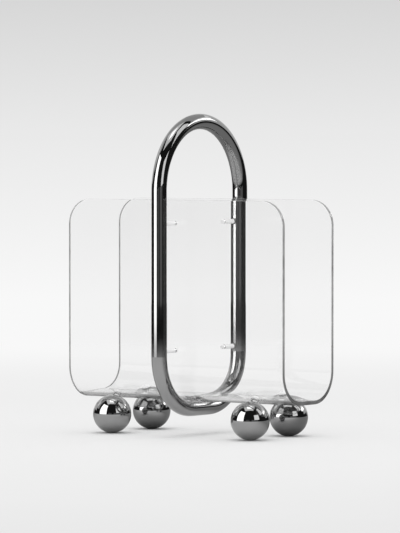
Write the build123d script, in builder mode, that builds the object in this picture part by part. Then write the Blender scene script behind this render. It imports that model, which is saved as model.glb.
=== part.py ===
from build123d import *
import math
import os

# Magazine rack: a clear bent-sheet tray on four ball feet, carried in an upright tube loop.
# Millimetres. +Z is up, X runs along the tray, Y across it. The floor is Z = 0 and the origin
# is midway between the feet, so X = 0 and Y = 0 are both planes of symmetry.

# ---- driving dimensions ----
# clear tray, bent from one sheet
SHEET_T = 5.0
TRAY_LENGTH = 340.0
TRAY_WIDTH = 116.0
BEND_RADIUS = 42.0  # outside radius of the two bottom bends
TRAY_TOP = 306.0
TOP_CORNER_RADIUS = 33.0

# ball feet, each screwed square to a bend of the tray
BALL_RADIUS = 25.0
FLOOR_FLAT_RADIUS = 3.0  # flat ground on the underside of each ball
FOOT_SPACING_X = 220.0
FOOT_TILT = 24.0  # angle of the fixing screw off the vertical
BALL_TO_SHEET = 1.0  # gap between the full sphere and the sheet, along the screw
SEAT_RADIUS = 6.0
INNER_SEAT_T = 1.2

# closed tube loop
TUBE_RADIUS = 10.0
TUBE_WALL = 2.0
LOOP_WIDTH = 180.0  # between the centrelines of the two uprights
LOOP_TOP = 417.0
LOOP_BOTTOM_RADIUS = 70.0  # centreline radius of the two lower bends
FERRULE_LENGTH = 36.0

# posts that hold the tray inside the loop
POST_HEIGHTS = {"lower": 112.0, "upper": 276.0}
POST_RADIUS = 3.0
WASHER_T = 1.0
STUD_RADIUS = 2.0
STUD_LENGTH = 10.0
BUSH_RADIUS = 3.8
BUSH_PROUD = 3.0  # the bush stands out of the tube, towards the tray, by this much
BUSH_DOME = 1.6  # rounding of its outer end
BUSH_LENGTH = 11.0

# screws: shank radius, length under the head, head radius, head height, socket across flats
FOOT_SCREW = {"shank": 3.0, "length": 20.0, "head": 5.0, "height": 2.2, "socket": 3.0}
PANEL_SCREW = {"shank": 1.5, "length": 14.0, "head": 2.8, "height": 1.6, "socket": 2.0}
HEAD_RIM = 0.6
SOCKET_DEPTH_SHARE = 0.55
SCREW_POINT = 0.5
DRILL_EXTRA = 2.5  # tapped holes run this far past the end of their screw
HOLE_CLEARANCE = 0.3  # on the radius of a hole that a screw passes through
THREAD_CLEARANCE = 0.05  # on the radius of a tapped hole or a welded bush
EDGE_BREAK = 0.4

# ---- worked-out dimensions ----
HALF_WIDTH = TRAY_WIDTH / 2
BEND_CENTRE_Y = HALF_WIDTH - BEND_RADIUS
BALL_CENTRE_Z = math.sqrt(BALL_RADIUS**2 - FLOOR_FLAT_RADIUS**2)
BALL_DISTANCE = BEND_RADIUS + BALL_TO_SHEET + BALL_RADIUS
BEND_CENTRE_Z = BALL_CENTRE_Z + BALL_DISTANCE * math.cos(math.radians(FOOT_TILT))
TRAY_BOTTOM = BEND_CENTRE_Z - BEND_RADIUS
BALL_FACE = BALL_DISTANCE - math.sqrt(BALL_RADIUS**2 - SEAT_RADIUS**2)
INNER_BEND_RADIUS = BEND_RADIUS - SHEET_T
FOOT_HEAD_SEAT = INNER_BEND_RADIUS - INNER_SEAT_T
LOOP_HALF = LOOP_WIDTH / 2
LOOP_BASE_Z = TRAY_BOTTOM - TUBE_RADIUS  # the tray rests on the loop's lower run
LOOP_TOP_Z = LOOP_TOP - TUBE_RADIUS
POST_FOOT = HALF_WIDTH + WASHER_T
POST_SHOULDER = LOOP_HALF - TUBE_RADIUS - BUSH_PROUD
PANEL_HEAD_SEAT = HALF_WIDTH - SHEET_T - WASHER_T

ENDS = {"left": -1, "right": 1}  # along X
SIDES = {"front": -1, "rear": 1}  # along Y

os.makedirs("parts", exist_ok=True)


def save(piece, label):
    """Name a finished piece and write it."""
    piece.part.label = label
    export_step(piece.part, f"parts/{label}.step")


def foot_axis(end, side):
    """Plane at the centre of the bend above a foot; its Z runs out through the sheet to the ball."""
    tilt = math.radians(FOOT_TILT)
    return Plane(
        origin=(end * FOOT_SPACING_X / 2, side * BEND_CENTRE_Y, BEND_CENTRE_Z),
        x_dir=(1, 0, 0),
        z_dir=(0, side * math.sin(tilt), -math.cos(tilt)),
    )


def post_axis(side, height):
    """Plane on the middle of the rack at a post's height; its Z runs outward across the rack."""
    return Plane(origin=(0, 0, height), x_dir=(1, 0, 0), z_dir=(0, side, 0))


def along(axis_plane):
    """Plane that holds the Z axis of axis_plane: its X is radial and its Y runs along that axis."""
    return Plane(axis_plane.origin, x_dir=axis_plane.x_dir, z_dir=-axis_plane.y_dir)


def turning_axis(axis_plane):
    return Axis(axis_plane.origin, axis_plane.z_dir)


def make_tray():
    """U-shaped tray bent from one sheet, with its screw holes."""
    with BuildPart() as tray:
        with BuildSketch(Plane.YZ):
            with BuildLine():
                FilletPolyline(
                    (-HALF_WIDTH, TRAY_TOP),
                    (-HALF_WIDTH, TRAY_BOTTOM),
                    (HALF_WIDTH, TRAY_BOTTOM),
                    (HALF_WIDTH, TRAY_TOP),
                    radius=BEND_RADIUS,
                )
                offset(amount=SHEET_T, side=Side.LEFT)
            make_face()
        extrude(amount=TRAY_LENGTH / 2, both=True)
        fillet(tray.edges().filter_by(Axis.Y).group_by(Axis.Z)[-1], radius=TOP_CORNER_RADIUS)
        for end in ENDS.values():
            for side in SIDES.values():
                with BuildSketch(foot_axis(end, side)):
                    Circle(FOOT_SCREW["shank"] + HOLE_CLEARANCE)
                extrude(amount=BEND_RADIUS + SHEET_T, mode=Mode.SUBTRACT)
        for side in SIDES.values():
            for height in POST_HEIGHTS.values():
                with BuildSketch(post_axis(side, height)):
                    Circle(PANEL_SCREW["shank"] + HOLE_CLEARANCE)
                extrude(amount=TRAY_WIDTH, mode=Mode.SUBTRACT)
    return tray


def make_loop():
    """Closed tube loop: a half-round top, straight uprights and two lower bends."""
    with BuildPart() as loop:
        with BuildLine(Plane.YZ):
            crown = CenterArc((0, LOOP_TOP_Z - LOOP_HALF), LOOP_HALF, 90, -90)
            upright_end = (LOOP_HALF, LOOP_BASE_Z + LOOP_BOTTOM_RADIUS)
            bend_end = (LOOP_HALF - LOOP_BOTTOM_RADIUS, LOOP_BASE_Z)
            Line(crown @ 1, upright_end)
            RadiusArc(upright_end, bend_end, LOOP_BOTTOM_RADIUS)
            Line(bend_end, (0, LOOP_BASE_Z))
        with BuildSketch(Plane(origin=(0, 0, LOOP_TOP_Z), z_dir=(0, 1, 0))):
            Circle(TUBE_RADIUS)
            Circle(TUBE_RADIUS - TUBE_WALL, mode=Mode.SUBTRACT)
        sweep()
        mirror(about=Plane.XZ)
        for side in SIDES.values():
            for height in POST_HEIGHTS.values():
                with BuildSketch(post_axis(side, height)):
                    Circle(BUSH_RADIUS + THREAD_CLEARANCE)
                extrude(amount=LOOP_HALF, mode=Mode.SUBTRACT)
    return loop


def make_ferrule():
    """Sleeve inside the loop's lower run, across the butt weld that closes the loop."""
    outer = TUBE_RADIUS - TUBE_WALL - THREAD_CLEARANCE
    with BuildPart() as ferrule:
        with BuildSketch(Plane.XZ):
            with Locations((0, LOOP_BASE_Z)):
                Circle(outer)
                Circle(outer - TUBE_WALL, mode=Mode.SUBTRACT)
        extrude(amount=FERRULE_LENGTH / 2, both=True)
        chamfer(ferrule.edges().filter_by(GeomType.CIRCLE).sort_by(SortBy.RADIUS)[-2:], EDGE_BREAK)
    return ferrule


def make_ball(axis_plane):
    """Steel ball: a spot face and a tapped hole towards the tray, a small flat on the floor."""
    depth = FOOT_SCREW["length"] - (BALL_FACE - FOOT_HEAD_SEAT) + DRILL_EXTRA
    upward = (Align.CENTER, Align.CENTER, Align.MAX)
    onward = (Align.CENTER, Align.CENTER, Align.MIN)
    with BuildPart(axis_plane) as ball:
        with Locations((0, 0, BALL_DISTANCE)):
            Sphere(BALL_RADIUS)
        with Locations((0, 0, BALL_FACE)):
            Cylinder(BALL_RADIUS, BALL_RADIUS, align=upward, mode=Mode.SUBTRACT)
            Cylinder(FOOT_SCREW["shank"] + THREAD_CLEARANCE, depth, align=onward, mode=Mode.SUBTRACT)
        split(bisect_by=Plane.XY, keep=Keep.TOP)
    return ball


def make_outer_seat(axis_plane):
    """Clear seat between the sheet's rounded outside and the spot face of a ball."""
    with BuildPart() as seat:
        with BuildSketch(axis_plane.offset(BEND_RADIUS - EDGE_BREAK * 2)):
            Circle(SEAT_RADIUS - EDGE_BREAK)
            Circle(FOOT_SCREW["shank"] + HOLE_CLEARANCE, mode=Mode.SUBTRACT)
        extrude(amount=BALL_FACE - BEND_RADIUS + EDGE_BREAK * 2)
        with BuildSketch(Plane.YZ.offset(axis_plane.origin.X)):
            with Locations((axis_plane.origin.Y, axis_plane.origin.Z)):
                Circle(BEND_RADIUS)
        extrude(amount=SEAT_RADIUS, both=True, mode=Mode.SUBTRACT)
    return seat


def make_inner_seat(axis_plane):
    """Clear seat between the sheet's rounded inside and the flat underside of a screw head."""
    with BuildPart() as seat:
        with BuildSketch(Plane.YZ.offset(axis_plane.origin.X)):
            with Locations((axis_plane.origin.Y, axis_plane.origin.Z)):
                Circle(INNER_BEND_RADIUS)
        extrude(amount=SEAT_RADIUS, both=True)
        with BuildSketch(axis_plane.offset(FOOT_HEAD_SEAT)):
            Circle(SEAT_RADIUS)
            Circle(FOOT_SCREW["shank"] + HOLE_CLEARANCE, mode=Mode.SUBTRACT)
        extrude(amount=INNER_SEAT_T * 2, mode=Mode.INTERSECT)
    return seat


def make_screw(head_plane, size):
    """Dome-headed socket screw: its head bears on head_plane and its shank runs along plane Z."""
    shank, length, head, height = (size[key] for key in ("shank", "length", "head", "height"))
    socket_radius = size["socket"] / math.sqrt(3)
    crown = socket_radius + EDGE_BREAK
    with BuildPart() as screw:
        with BuildSketch(along(head_plane)):
            with BuildLine():
                Polyline((0, -height), (0, length), (shank - SCREW_POINT, length))
                Polyline((shank - SCREW_POINT, length), (shank, length - SCREW_POINT), (shank, 0))
                Polyline((shank, 0), (head, 0), (head, -HEAD_RIM))
                RadiusArc((head, -HEAD_RIM), (crown, -height), head)
                Line((crown, -height), (0, -height))
            make_face()
        revolve(axis=turning_axis(head_plane))
        with BuildSketch(head_plane.offset(-height)):
            RegularPolygon(socket_radius, 6)
        extrude(amount=height * SOCKET_DEPTH_SHARE, mode=Mode.SUBTRACT)
    return screw


def make_ring(axis_plane, start, thickness, outer, bore):
    """Flat washer on axis_plane, from start to start + thickness."""
    with BuildPart() as ring:
        with BuildSketch(axis_plane.offset(start)):
            Circle(outer)
            Circle(bore, mode=Mode.SUBTRACT)
        extrude(amount=thickness)
    return ring


def make_bush(axis_plane):
    """Bush welded into the tube wall, with a rounded end that stands proud of the tube."""
    with BuildPart() as bush:
        with BuildSketch(axis_plane.offset(POST_SHOULDER)):
            Circle(BUSH_RADIUS)
        extrude(amount=BUSH_LENGTH)
        fillet(bush.edges().filter_by(GeomType.CIRCLE).sort_by(turning_axis(axis_plane))[0], BUSH_DOME)
        with BuildSketch(axis_plane.offset(POST_SHOULDER)):
            Circle(STUD_RADIUS + THREAD_CLEARANCE)
        extrude(amount=BUSH_LENGTH, mode=Mode.SUBTRACT)
    return bush


def make_post(axis_plane):
    """Turned clear post: tapped end against the panel, threaded stud into the bush in the tube."""
    tapped = PANEL_SCREW["length"] - (POST_FOOT - PANEL_HEAD_SEAT) + DRILL_EXTRA
    with BuildPart() as post:
        with BuildSketch(along(axis_plane)):
            with BuildLine():
                Polyline((0, POST_FOOT), (POST_RADIUS - EDGE_BREAK, POST_FOOT))
                Polyline((POST_RADIUS - EDGE_BREAK, POST_FOOT), (POST_RADIUS, POST_FOOT + EDGE_BREAK))
                Polyline((POST_RADIUS, POST_FOOT + EDGE_BREAK), (POST_RADIUS, POST_SHOULDER))
                Polyline((POST_RADIUS, POST_SHOULDER), (STUD_RADIUS, POST_SHOULDER))
                Polyline((STUD_RADIUS, POST_SHOULDER), (STUD_RADIUS, POST_SHOULDER + STUD_LENGTH))
                Polyline((STUD_RADIUS, POST_SHOULDER + STUD_LENGTH), (0, POST_SHOULDER + STUD_LENGTH))
                Line((0, POST_SHOULDER + STUD_LENGTH), (0, POST_FOOT))
            make_face()
        revolve(axis=turning_axis(axis_plane))
        with BuildSketch(axis_plane.offset(POST_FOOT)):
            Circle(PANEL_SCREW["shank"] + THREAD_CLEARANCE)
        extrude(amount=tapped, mode=Mode.SUBTRACT)
    return post


save(make_tray(), "clear_tray")
save(make_loop(), "handle_loop")
save(make_ferrule(), "loop_joining_sleeve")

for end_name, end_sign in ENDS.items():
    for side_name, side_sign in SIDES.items():
        place = f"{side_name}_{end_name}"
        axis = foot_axis(end_sign, side_sign)
        save(make_ball(axis), f"ball_foot_{place}")
        save(make_outer_seat(axis), f"foot_outer_seat_{place}")
        save(make_inner_seat(axis), f"foot_inner_seat_{place}")
        save(make_screw(axis.offset(FOOT_HEAD_SEAT), FOOT_SCREW), f"foot_screw_{place}")

for side_name, side_sign in SIDES.items():
    for level, height in POST_HEIGHTS.items():
        place = f"{side_name}_{level}"
        axis = post_axis(side_sign, height)
        bore = PANEL_SCREW["shank"] + HOLE_CLEARANCE
        save(make_post(axis), f"standoff_post_{place}")
        save(make_screw(axis.offset(PANEL_HEAD_SEAT), PANEL_SCREW), f"panel_screw_{place}")
        save(make_ring(axis, PANEL_HEAD_SEAT, WASHER_T, POST_RADIUS, bore), f"screw_washer_{place}")
        save(make_ring(axis, HALF_WIDTH, WASHER_T, POST_RADIUS, bore), f"post_washer_{place}")
        save(make_bush(axis), f"tube_bush_{place}")
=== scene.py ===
import math

import bmesh
import bpy
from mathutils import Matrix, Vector


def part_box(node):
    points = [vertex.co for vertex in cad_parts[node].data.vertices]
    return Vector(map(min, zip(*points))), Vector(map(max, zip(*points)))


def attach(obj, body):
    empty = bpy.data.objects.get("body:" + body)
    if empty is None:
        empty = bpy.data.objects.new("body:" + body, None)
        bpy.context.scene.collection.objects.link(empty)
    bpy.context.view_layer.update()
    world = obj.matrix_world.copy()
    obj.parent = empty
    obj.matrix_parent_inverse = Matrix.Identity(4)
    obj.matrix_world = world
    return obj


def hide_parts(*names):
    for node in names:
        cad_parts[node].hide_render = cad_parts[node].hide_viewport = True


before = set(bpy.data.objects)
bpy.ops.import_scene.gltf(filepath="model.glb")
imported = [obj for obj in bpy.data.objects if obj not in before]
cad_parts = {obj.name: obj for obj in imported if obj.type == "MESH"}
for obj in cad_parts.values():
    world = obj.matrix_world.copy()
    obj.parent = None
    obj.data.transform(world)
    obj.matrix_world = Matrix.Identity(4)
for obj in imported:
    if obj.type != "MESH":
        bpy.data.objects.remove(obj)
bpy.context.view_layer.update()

# Magazine rack in a pale studio. Metres, in the frame of the CAD model: the floor is Z = 0,
# X runs along the tray and Y across it. Azimuth 0 looks along +Y and 90 along -X.

# ---- clear tray, as it is cut and bent ----
SHEET_T = 0.005
BEND_RADIUS = 0.042  # outside of the bends
TOP_CORNER_RADIUS = 0.033
EDGE_ROUND = 0.0006  # radius left by polishing the cut edges
EDGE_ROUND_STEPS = 3
FOOT_TILT = math.radians(24)
FOOT_HOLE_RADIUS = 0.0036
PANEL_HOLE_RADIUS = 0.0023
CORNER_STEPS = 24
HOLE_STEPS = 32
BEND_STEPS = 36
FLAT_FACE_NORMAL = 0.9  # the faces of the sheet point up or down more than this, its edges less

# ---- clear plastics ----
SHEET_IOR = 1.36  # below those of the solid plastics, to keep the pieces as clear as they look
FIXING_IOR = 1.2
EDGE_CLARITY = 0.45
PAINTED_EDGE_SHADE_HEIGHTS = (0.05, 0.14)  # painted shade on the sheet's edges sets in between these, darker towards the floor
PAINTED_EDGE_SHADE_TONE = 0.4

# ---- camera ----
CAMERA_AZIMUTH = math.radians(35.6)
CAMERA_DISTANCE = 5.249  # along the floor, from the origin
CAMERA_HEIGHT = 0.396
CAMERA_PITCH = math.radians(1.936)  # downward
CAMERA_LENS = 273.0
CAMERA_REACH = 400.0

# ---- backdrop ----
FAR_TONE = 0.815  # the floor at the horizon, and the backdrop just above it
NEAR_TONE = 0.85  # the backdrop well below the horizon
TOP_TONE = 0.68  # the backdrop at the top of the view
LOWEST_SLOPE = -0.025  # where NEAR_TONE is reached, as the Z of a direction
HIGHEST_SLOPE = 0.032  # where TOP_TONE is reached
FILL_LIGHT = 0.89
DARK_STUDIO = 0.02
HAZY_STUDIO = 0.07  # the dark studio, seen through the clear plastic

# ---- floor; distances are from the origin ----
FLOOR_RADIUS = 150.0
FLOOR_STEPS = 128
FLOOR_ALBEDO = 0.8
ALBEDO_SPREAD = 0.004
FLOOR_GRAIN = 3  # cells per metre
PAINTED_GLOW_GAIN = 1.18  # how much brighter the far floor's painted glow gets towards the rack, a painted pool of light
PAINTED_GLOW_TOP = 0.94  # the brightest that the far floor's painted glow gets
LIT_FLOOR_SHIFT = 0.5  # the lit floor's centre lies this far from the origin, towards the camera
LIT_FLOOR_FADE = (0.9, 2.7)  # distances from that centre between which lit floor turns to far floor
MIRRORED_FLOOR_FADE = (1.3, 2.6)  # the same for the floor as the metal mirrors it
LIT_SIDE = 0.0  # azimuth at which the metal mirrors the floor at its brightest
LIT_SIDE_LIMITS = (-0.35, 0.6)  # cosines of the angle away from it, at full shade and at none
SHADED_TONE = 0.42  # share of the floor's tone that is left in full shade
SHADE_START = (0.02, 0.1)  # distances between which that shade sets in

# ---- light panels, which only mirrored light finds, and the lamp ----
NEAR_WALL = 1.8
TRAY_WALL = 1.85
FAR_WALL = 4.0
WALL_STEPS = 24
CEILING = 4.0
PANEL_FADE = (0.0, 0.09)  # heights between which the upright panels reach their full glow
TRAY_CROSSINGS = 6.5  # the far upright mirrors the studio after more surfaces of the tray than this
LAMP_HEIGHT = 2.2
LAMP_SIZE = 1.7
LAMP_RADIANCE = 1.35

# azimuths and angles of rise in degrees, and radiance
LEFT_PANEL_RADIANCE = 3.6
LEFT_PANELS = {"left_panel": ((-46, -2), (0, 50), LEFT_PANEL_RADIANCE)}
LEFT_PANELS_THROUGH_TRAY = {  # the same place, with what the tray's own faint mirroring finds there
    "left_panel_near": ((-27, -2), (0, 50), 1.0),
    "left_panel_middle": ((-46, -27), (9, 50), 1.0),
    "left_panel_foot": ((-46, -27), (0, 9), 0.12),
}
FAR_PANELS = {
    "left_dim_panel": ((10, 32), (0, 9), 0.12),
    "right_dim_panel": ((44, 82), (0, 9), 0.18),
    "right_panel_low": ((60.6, 90.6), (9, 35), 1.7),
    "right_panel_high": ((103, 133), (30, 62), 1.5),
    "right_panel_strip": ((133, 160), (22, 31), 3.6),
    "rear_backdrop_low": ((176, 255), (0, 9), 0.85),
    "rear_backdrop_high": ((140, 280), (9, 38), 0.8),
}
CEILING_PANELS = {  # angles of rise from the camera's side, angles of lean, and radiance
    "overhead_panel": ((66, 104), (-25, 17), 1.3),
    "overhead_core": ((78, 95), (-12, 6), 2.6),
    "overhead_back": ((104, 141), (-70, 70), 0.6),
}


def at_azimuth(azimuth, radius, height):
    """Point at an azimuth in radians, a distance from the Z axis and a height."""
    return Vector((radius * math.sin(azimuth), -radius * math.cos(azimuth), height))


def add_object(name, data):
    thing = bpy.data.objects.new(name, data)
    bpy.context.scene.collection.objects.link(thing)
    return thing


def mesh_object(name, bm, *materials):
    """Object made from a bmesh, smooth shaded, with these materials."""
    mesh = bpy.data.meshes.new(name)
    bm.to_mesh(mesh)
    bm.free()
    for material in materials:
        mesh.materials.append(material)
    mesh.shade_smooth()
    return add_object(name, mesh)


# ---- materials ----
NOISE_DETAIL = 3.0
NOISE_SPREAD = (0.3, 0.7)  # most of the noise lies between these
TONE_GRAIN = 18  # cells per metre


def new_material(name):
    """New node material and its Principled shader."""
    material = bpy.data.materials.new(name)
    material.use_nodes = True
    return material, material.node_tree.nodes["Principled BSDF"]


def math_node(tree, operation, first, second):
    """Math node on two inputs, each a socket or a number."""
    node = tree.nodes.new("ShaderNodeMath")
    node.operation = operation
    for socket, value in zip(node.inputs, (first, second)):
        if isinstance(value, bpy.types.NodeSocket):
            tree.links.new(value, socket)
        else:
            socket.default_value = value
    return node.outputs["Value"]


def mixed(tree, share, first, second):
    """Value between first and second; each is a socket or a number."""
    node = tree.nodes.new("ShaderNodeMix")
    for socket, value in zip((node.inputs[0], node.inputs[2], node.inputs[3]), (share, first, second)):
        if isinstance(value, bpy.types.NodeSocket):
            tree.links.new(value, socket)
        else:
            socket.default_value = value
    return node.outputs[0]


def ramp(tree, value, start, end, low, high, smooth=True):
    """Value that goes from low to high as the input goes from start to end."""
    node = tree.nodes.new("ShaderNodeMapRange")
    node.interpolation_type = "SMOOTHSTEP" if smooth else "LINEAR"
    numbers = (start, end, low, high)
    for socket, number in zip(("From Min", "From Max", "To Min", "To Max"), numbers):
        node.inputs[socket].default_value = number
    tree.links.new(value, node.inputs["Value"])
    return node.outputs["Result"]


def varied(tree, low, high, scale):
    """Noise over the object, as a value between low and high. Scale is in cells per metre."""
    coordinates = tree.nodes.new("ShaderNodeTexCoord")
    noise = tree.nodes.new("ShaderNodeTexNoise")
    noise.inputs["Scale"].default_value = scale
    noise.inputs["Detail"].default_value = NOISE_DETAIL
    tree.links.new(coordinates.outputs["Object"], noise.inputs["Vector"])
    return ramp(tree, noise.outputs["Fac"], *NOISE_SPREAD, low, high, smooth=False)


def add_bump(material, shader, height, depth):
    """Fine relief, depth metres from the lowest to the highest of the height value."""
    bump = material.node_tree.nodes.new("ShaderNodeBump")
    bump.inputs["Distance"].default_value = depth
    material.node_tree.links.new(height, bump.inputs["Height"])
    material.node_tree.links.new(bump.outputs["Normal"], shader.inputs["Normal"])


def metal(name, tone, roughness, grain, relief):
    """Metal whose tone and roughness vary over the surface, each within a range."""
    material, shader = new_material(name)
    tree = material.node_tree
    shader.inputs["Metallic"].default_value = 1.0
    tree.links.new(varied(tree, *tone, scale=TONE_GRAIN), shader.inputs["Base Color"])
    tree.links.new(varied(tree, *roughness, scale=grain), shader.inputs["Roughness"])
    add_bump(material, shader, varied(tree, 0, 1, scale=grain * 2), relief)
    return material


def plastic(name, tone, roughness, grain, ior, clarity=1.0):
    """Plastic whose tone and roughness vary, each within a range; clarity is the share that is clear."""
    material, shader = new_material(name)
    tree = material.node_tree
    shader.inputs["Transmission Weight"].default_value = clarity
    shader.inputs["IOR"].default_value = ior
    tree.links.new(varied(tree, *tone, scale=grain), shader.inputs["Base Color"])
    tree.links.new(varied(tree, *roughness, scale=grain), shader.inputs["Roughness"])
    return material


def paint_low_shade(material, low, high, share):
    """Paints shade into a plastic: darker below the higher height, down to a share of its tone at the
    lower one.
    """
    tree = material.node_tree
    base = tree.nodes["Principled BSDF"].inputs["Base Color"]
    coordinates = tree.nodes.new("ShaderNodeTexCoord")
    parts = tree.nodes.new("ShaderNodeSeparateXYZ")
    painted_shade_tint = tree.nodes.new("ShaderNodeVectorMath")
    painted_shade_tint.operation = "SCALE"
    tree.links.new(coordinates.outputs["Object"], parts.inputs["Vector"])
    tree.links.new(base.links[0].from_socket, painted_shade_tint.inputs[0])
    tree.links.new(ramp(tree, parts.outputs["Z"], low, high, share, 1), painted_shade_tint.inputs["Scale"])
    tree.links.new(painted_shade_tint.outputs["Vector"], base)


gunmetal_tube = metal("gunmetal_tube", (0.31, 0.35), (0.03, 0.06), 60, 2e-6)
gunmetal_ball = metal("gunmetal_ball", (0.32, 0.36), (0.02, 0.05), 70, 1e-6)
plain_steel = metal("plain_steel", (0.5, 0.6), (0.22, 0.36), 300, 1e-5)
acrylic = plastic("clear_acrylic", (0.992, 1.0), (0.0, 0.004), 9, SHEET_IOR)
acrylic_edge = plastic("polished_acrylic_edge", (0.42, 0.78), (0.05, 0.14), 45, SHEET_IOR, EDGE_CLARITY)
# painted shade: the sheet's cut edges are drawn darker towards the floor
paint_low_shade(acrylic_edge, *PAINTED_EDGE_SHADE_HEIGHTS, PAINTED_EDGE_SHADE_TONE)
clear_nylon = plastic("clear_nylon", (0.96, 1.0), (0.0, 0.02), 200, FIXING_IOR)
milky_nylon = plastic("milky_nylon", (0.93, 0.97), (0.3, 0.4), 200, FIXING_IOR, 0.0)


# ---- the object ----
NODE_FINISHES = {
    "handle_loop": gunmetal_tube,
    "tube_bush": gunmetal_tube,
    "ball_foot": gunmetal_ball,
    "loop_joining_sleeve": plain_steel,
    "standoff_post": milky_nylon,
    "foot_screw": milky_nylon,
    "panel_screw": milky_nylon,
    "foot_outer_seat": clear_nylon,
    "foot_inner_seat": milky_nylon,
    "screw_washer": milky_nylon,
    "post_washer": milky_nylon,
}
MIRROR_PREFIXES = ("handle_loop", "tube_bush", "ball_foot")


def pass_light(thing):
    """Keeps a clear piece from blocking or doubling the light that falls on the floor."""
    thing.visible_shadow = False
    thing.visible_diffuse = False


def finish_nodes():
    """Gives each CAD node that stays its own material."""
    for name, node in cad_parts.items():
        for prefix, material in NODE_FINISHES.items():
            if name.startswith(prefix):
                for index in range(len(node.data.materials)):
                    node.material_slots[index].material = material
                if material == clear_nylon:
                    pass_light(node)


def add_ring(bm, centre_x, centre_run, radius, steps, start=0.0, sweep=math.tau):
    """Vertices along an arc on the flat sheet."""
    ring = []
    for step in range(steps):
        angle = start + sweep * step / steps
        x = centre_x + radius * math.cos(angle)
        run = centre_run + radius * math.sin(angle)
        ring.append(bm.verts.new((x, run, 0)))
    return ring


def join_round(bm, ring):
    """Edges that close the vertices into a loop."""
    for here, onward in zip(ring, ring[1:] + ring[:1]):
        bm.edges.new((here, onward))


def make_tray():
    """Clear sheet: cut out flat with its holes, given rounded edges, then bent into a U."""
    low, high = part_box("clear_tray")
    half_length = high.x
    floor_half = high.y - BEND_RADIUS
    bend_run = BEND_RADIUS * math.pi / 2
    bend_top = low.z + BEND_RADIUS
    run_end = floor_half + bend_run + high.z - bend_top

    def bent(x, run, depth):
        """Place of a point of the flat sheet; run is along the outside, depth into the sheet."""
        past_floor = abs(run) - floor_half
        if past_floor <= 0:
            return (x, run, low.z + depth)
        turn = min(past_floor, bend_run) / BEND_RADIUS
        radius = BEND_RADIUS - depth
        y = floor_half + radius * math.sin(turn)
        z = bend_top - radius * math.cos(turn) + max(past_floor - bend_run, 0)
        return (x, math.copysign(y, run), z)

    bm = bmesh.new()
    outline = []
    quarter = math.pi / 2
    corners = [(1, 1, 0), (-1, 1, quarter), (-1, -1, 2 * quarter), (1, -1, 3 * quarter)]
    for side_x, side_run, start in corners:
        centre_x = side_x * (half_length - TOP_CORNER_RADIUS)
        centre_run = side_run * (run_end - TOP_CORNER_RADIUS)
        sweep = quarter * CORNER_STEPS / (CORNER_STEPS - 1)
        outline += add_ring(bm, centre_x, centre_run, TOP_CORNER_RADIUS, CORNER_STEPS, start, sweep)
    join_round(bm, outline)
    for side in (-1, 1):
        for end in ("left", "right"):
            foot_low, foot_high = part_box(f"ball_foot_front_{end}")
            foot_x = (foot_low.x + foot_high.x) / 2
            foot_run = side * (floor_half + FOOT_TILT * BEND_RADIUS)
            join_round(bm, add_ring(bm, foot_x, foot_run, FOOT_HOLE_RADIUS, HOLE_STEPS))
        for level in ("lower", "upper"):
            post_low, post_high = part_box(f"standoff_post_front_{level}")
            post_run = side * (floor_half + bend_run + (post_low.z + post_high.z) / 2 - bend_top)
            join_round(bm, add_ring(bm, 0, post_run, PANEL_HOLE_RADIUS, HOLE_STEPS))
    bmesh.ops.triangle_fill(bm, use_beauty=True, use_dissolve=False, edges=bm.edges[:])
    for side in (-1, 1):
        for step in range(BEND_STEPS + 1):
            cut = side * (floor_half + bend_run * step / BEND_STEPS)
            everything = bm.verts[:] + bm.edges[:] + bm.faces[:]
            bmesh.ops.bisect_plane(bm, geom=everything, plane_co=(0, cut, 0), plane_no=(0, 1, 0))

    grown = bmesh.ops.extrude_face_region(bm, geom=bm.faces[:])
    inner = [part for part in grown["geom"] if isinstance(part, bmesh.types.BMVert)]
    bmesh.ops.translate(bm, verts=inner, vec=(0, 0, SHEET_T))
    bmesh.ops.recalc_face_normals(bm, faces=bm.faces[:])
    cut_edges = [edge for edge in bm.edges if edge.calc_face_angle(0) > 1]
    bmesh.ops.bevel(
        bm, geom=cut_edges, offset=EDGE_ROUND, segments=EDGE_ROUND_STEPS, profile=0.5, affect="EDGES"
    )
    for face in bm.faces:
        face.material_index = int(abs(face.normal.z) < FLAT_FACE_NORMAL)
    for vert in bm.verts:
        vert.co = bent(*vert.co)
    bmesh.ops.recalc_face_normals(bm, faces=bm.faces[:])

    tray = mesh_object("tray_sheet", bm, acrylic, acrylic_edge)
    normals = tray.modifiers.new("weighted_normals", "WEIGHTED_NORMAL")
    normals.weight = 100
    pass_light(tray)
    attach(tray, "root")
    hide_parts("clear_tray")
    return tray


# ---- studio ----


def seen_in_metal(tree):
    """1 for light that has already been mirrored once, otherwise 0."""
    path = tree.nodes.new("ShaderNodeLightPath")
    return math_node(tree, "GREATER_THAN", path.outputs["Glossy Depth"], 0.5)


def dark_tone(tree):
    """The dark side of the studio, paler where it is seen through the clear plastic."""
    path = tree.nodes.new("ShaderNodeLightPath")
    return mixed(tree, path.outputs["Is Transmission Ray"], DARK_STUDIO, HAZY_STUDIO)


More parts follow.
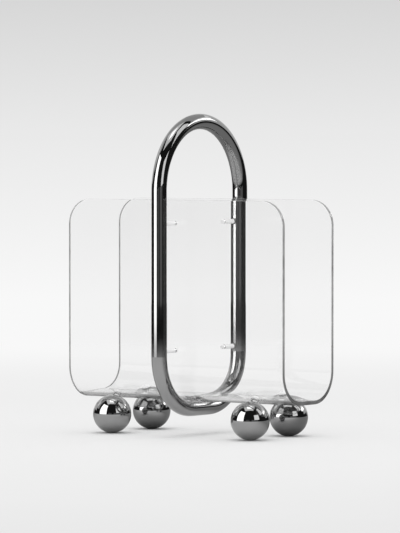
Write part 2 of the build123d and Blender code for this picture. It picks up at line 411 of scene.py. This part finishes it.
def make_world():
    """Pale backdrop, plain fill light, and a dark studio as mirrors see it."""
    world = bpy.data.worlds.new("studio_world")
    bpy.context.scene.world = world
    world.use_nodes = True
    world.cycles.sampling_method = "NONE"
    tree = world.node_tree
    direction = tree.nodes.new("ShaderNodeTexCoord")
    parts = tree.nodes.new("ShaderNodeSeparateXYZ")
    path = tree.nodes.new("ShaderNodeLightPath")
    tree.links.new(direction.outputs["Generated"], parts.inputs["Vector"])
    slope = parts.outputs["Z"]
    lower = ramp(tree, slope, LOWEST_SLOPE, 0, NEAR_TONE, FAR_TONE, smooth=False)
    drop = ramp(tree, slope, 0, HIGHEST_SLOPE, 0, FAR_TONE - TOP_TONE, smooth=False)
    backdrop = math_node(tree, "SUBTRACT", lower, drop)
    seen = mixed(tree, seen_in_metal(tree), backdrop, dark_tone(tree))
    tone = mixed(tree, path.outputs["Is Diffuse Ray"], seen, FILL_LIGHT)
    tree.links.new(tone, tree.nodes["Background"].inputs["Strength"])
    tree.nodes["Background"].inputs["Color"].default_value = (1, 1, 1, 1)


def distance_from(tree, centre):
    """Distance of the shaded point from a centre."""
    coordinates = tree.nodes.new("ShaderNodeTexCoord")
    distance = tree.nodes.new("ShaderNodeVectorMath")
    distance.operation = "DISTANCE"
    tree.links.new(coordinates.outputs["Object"], distance.inputs[0])
    distance.inputs[1].default_value = centre
    return distance.outputs["Value"]


def mirrored_floor_tone(tree, radius, mirrored):
    """Share of the floor's tone that is left: below 1 on the shaded side, for the metal alone."""
    coordinates = tree.nodes.new("ShaderNodeTexCoord")
    ahead = tree.nodes.new("ShaderNodeVectorMath")
    ahead.operation = "DOT_PRODUCT"
    tree.links.new(coordinates.outputs["Object"], ahead.inputs[0])
    ahead.inputs[1].default_value = at_azimuth(LIT_SIDE, 1, 0)
    facing = math_node(
        tree, "DIVIDE", ahead.outputs["Value"], math_node(tree, "MAXIMUM", radius, SHADE_START[1])
    )
    side_tone = ramp(tree, facing, *LIT_SIDE_LIMITS, SHADED_TONE, 1)
    shading = math_node(tree, "MULTIPLY", ramp(tree, radius, *SHADE_START, 0, 1), mirrored)
    return mixed(tree, shading, 1.0, side_tone)


def make_floor():
    """Round pale floor: lit near the rack, and far from it a painted glow that brightens towards the
    rack; the metal mirrors that far part as the dark.
    """
    material = bpy.data.materials.new("pale_floor")
    material.use_nodes = True
    material.cycles.emission_sampling = "NONE"
    tree = material.node_tree
    tree.nodes.clear()
    radius = distance_from(tree, (0, 0, 0))
    lit_radius = distance_from(tree, at_azimuth(CAMERA_AZIMUTH, LIT_FLOOR_SHIFT, 0))
    mirrored = seen_in_metal(tree)
    plain_share = ramp(tree, lit_radius, *LIT_FLOOR_FADE, 0, 1)
    mirrored_share = ramp(tree, radius, *MIRRORED_FLOOR_FADE, 0, 1)
    # painted glow of the far floor, brighter towards the rack like a pool of light
    reach = math_node(tree, "ADD", radius, CAMERA_DISTANCE)
    painted_glow = math_node(tree, "ADD", math_node(tree, "DIVIDE", PAINTED_GLOW_GAIN, reach), FAR_TONE)
    tone = math_node(tree, "MINIMUM", painted_glow, PAINTED_GLOW_TOP)
    albedo = varied(tree, FLOOR_ALBEDO - ALBEDO_SPREAD, FLOOR_ALBEDO + ALBEDO_SPREAD, FLOOR_GRAIN)
    painted_shade_tint = tree.nodes.new("ShaderNodeVectorMath")
    painted_shade_tint.operation = "SCALE"
    diffuse = tree.nodes.new("ShaderNodeBsdfDiffuse")
    glow = tree.nodes.new("ShaderNodeEmission")
    blend = tree.nodes.new("ShaderNodeMixShader")
    output = tree.nodes.new("ShaderNodeOutputMaterial")
    tree.links.new(albedo, painted_shade_tint.inputs[0])
    tree.links.new(mirrored_floor_tone(tree, radius, mirrored), painted_shade_tint.inputs["Scale"])
    tree.links.new(painted_shade_tint.outputs["Vector"], diffuse.inputs["Color"])
    tree.links.new(mixed(tree, mirrored, tone, dark_tone(tree)), glow.inputs["Strength"])
    tree.links.new(mixed(tree, mirrored, plain_share, mirrored_share), blend.inputs[0])
    tree.links.new(diffuse.outputs["BSDF"], blend.inputs[1])
    tree.links.new(glow.outputs["Emission"], blend.inputs[2])
    tree.links.new(blend.outputs["Shader"], output.inputs["Surface"])

    bm = bmesh.new()
    bmesh.ops.create_circle(bm, cap_ends=True, segments=FLOOR_STEPS, radius=FLOOR_RADIUS)
    floor = mesh_object("studio_floor", bm, material)


def light_panel_material(name, radiance, tray_radiance=None):
    """Glow that only mirrored light finds, fading to the floor's own tone at the panel's foot.

    With a tray_radiance, only the far upright finds that glow, and the tray's own mirroring
    finds the tray_radiance.
    """
    material = bpy.data.materials.new(name)
    material.use_nodes = True
    material.cycles.emission_sampling = "NONE"
    tree = material.node_tree
    tree.nodes.clear()
    coordinates = tree.nodes.new("ShaderNodeTexCoord")
    parts = tree.nodes.new("ShaderNodeSeparateXYZ")
    glow = tree.nodes.new("ShaderNodeEmission")
    clear = tree.nodes.new("ShaderNodeBsdfTransparent")
    both = tree.nodes.new("ShaderNodeAddShader")
    output = tree.nodes.new("ShaderNodeOutputMaterial")
    tree.links.new(coordinates.outputs["Object"], parts.inputs["Vector"])
    faded = ramp(tree, parts.outputs["Z"], *PANEL_FADE, min(radiance, FILL_LIGHT), radiance)
    strength = faded
    if tray_radiance is not None:
        path = tree.nodes.new("ShaderNodeLightPath")
        crossings = path.outputs["Transmission Depth"]
        past_tray = math_node(tree, "GREATER_THAN", crossings, TRAY_CROSSINGS)
        strength = mixed(tree, past_tray, tray_radiance, faded)
    tree.links.new(math_node(tree, "MULTIPLY", seen_in_metal(tree), strength), glow.inputs["Strength"])
    tree.links.new(clear.outputs["BSDF"], both.inputs[0])
    tree.links.new(glow.outputs["Emission"], both.inputs[1])
    tree.links.new(both.outputs["Shader"], output.inputs["Surface"])
    return material


def set_up_panel(name, bm, material, receivers=None):
    """Panel in the studio, whose glow reaches everything or, if there are any, the receivers alone."""
    panel = mesh_object(name, bm, material)
    panel.visible_camera = False
    panel.visible_diffuse = False
    panel.visible_shadow = False
    if receivers:
        panel.light_linking.receiver_collection = receivers


def make_light_panel(name, azimuths, rises, material, wall_radius, receivers=None):
    """Upright curved panel around the rack, between two azimuths and two angles of rise."""
    start, end = (math.radians(azimuth) for azimuth in azimuths)
    heights = [wall_radius * math.tan(math.radians(rise)) for rise in rises]
    bm = bmesh.new()
    columns = []
    for step in range(WALL_STEPS + 1):
        azimuth = start + (end - start) * step / WALL_STEPS
        columns.append([bm.verts.new(at_azimuth(azimuth, wall_radius, height)) for height in heights])
    for here, onward in zip(columns, columns[1:]):
        bm.faces.new((here[0], onward[0], onward[1], here[1]))
    set_up_panel(name, bm, material, receivers)


def make_ceiling_panel(name, rises, leans, radiance):
    """Level panel overhead. Rises are angles up from the camera's side and over the top, and leans
    are angles from upright to the camera's left and right, in degrees."""
    bm = bmesh.new()
    corners = []
    for rise, lean in ((0, 0), (0, 1), (1, 1), (1, 0)):
        toward = CEILING / math.tan(math.radians(rises[rise]))
        across = CEILING * math.tan(math.radians(leans[lean]))
        corner = at_azimuth(CAMERA_AZIMUTH, toward, CEILING)
        corner += at_azimuth(CAMERA_AZIMUTH + math.pi / 2, across, 0)
        corners.append(bm.verts.new(corner))
    bm.faces.new(corners)
    set_up_panel(name, bm, light_panel_material(name, radiance))


def make_lamp():
    """Large soft lamp above the rack, for the light and the shadows on the floor."""
    light = bpy.data.lights.new("soft_lamp", "AREA")
    light.shape = "SQUARE"
    light.size = LAMP_SIZE
    light.energy = LAMP_RADIANCE * math.pi * LAMP_SIZE * LAMP_SIZE
    lamp = add_object("soft_lamp", light)
    lamp.location = (0, 0, LAMP_HEIGHT)
    lamp.visible_camera = False
    lamp.visible_glossy = False
    lamp.visible_transmission = False


def make_camera():
    camera_data = bpy.data.cameras.new("camera")
    camera_data.lens = CAMERA_LENS
    camera_data.clip_end = CAMERA_REACH
    camera = add_object("camera", camera_data)
    camera.location = at_azimuth(CAMERA_AZIMUTH, CAMERA_DISTANCE, CAMERA_HEIGHT)
    camera.rotation_euler = (math.pi / 2 - CAMERA_PITCH, 0, CAMERA_AZIMUTH)
    bpy.context.scene.camera = camera


def collect(name, things):
    """Collection that holds these objects as well as the scene does."""
    collection = bpy.data.collections.new(name)
    for thing in things:
        collection.objects.link(thing)
    return collection


def make_panels(tray_sheet):
    """All the light panels; the left ones come twice, for the metal and for the tray."""
    mirrors = [node for name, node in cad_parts.items() if name.startswith(MIRROR_PREFIXES)]
    metal_pieces = collect("metal_pieces", mirrors)
    tray_pieces = collect("tray_pieces", [tray_sheet])
    for name, (azimuths, rises, radiance) in LEFT_PANELS.items():
        glow = light_panel_material(name, radiance)
        make_light_panel(name, azimuths, rises, glow, NEAR_WALL, metal_pieces)
    for name, (azimuths, rises, tray_radiance) in LEFT_PANELS_THROUGH_TRAY.items():
        glow = light_panel_material(name, LEFT_PANEL_RADIANCE, tray_radiance)
        make_light_panel(name, azimuths, rises, glow, TRAY_WALL, tray_pieces)
    for name, (azimuths, rises, radiance) in FAR_PANELS.items():
        make_light_panel(name, azimuths, rises, light_panel_material(name, radiance), FAR_WALL)
    for name, (rises, leans, radiance) in CEILING_PANELS.items():
        make_ceiling_panel(name, rises, leans, radiance)


finish_nodes()
tray = make_tray()
make_world()
make_floor()
make_lamp()
make_camera()
make_panels(tray)

bpy.context.scene.view_settings.view_transform = "Standard"
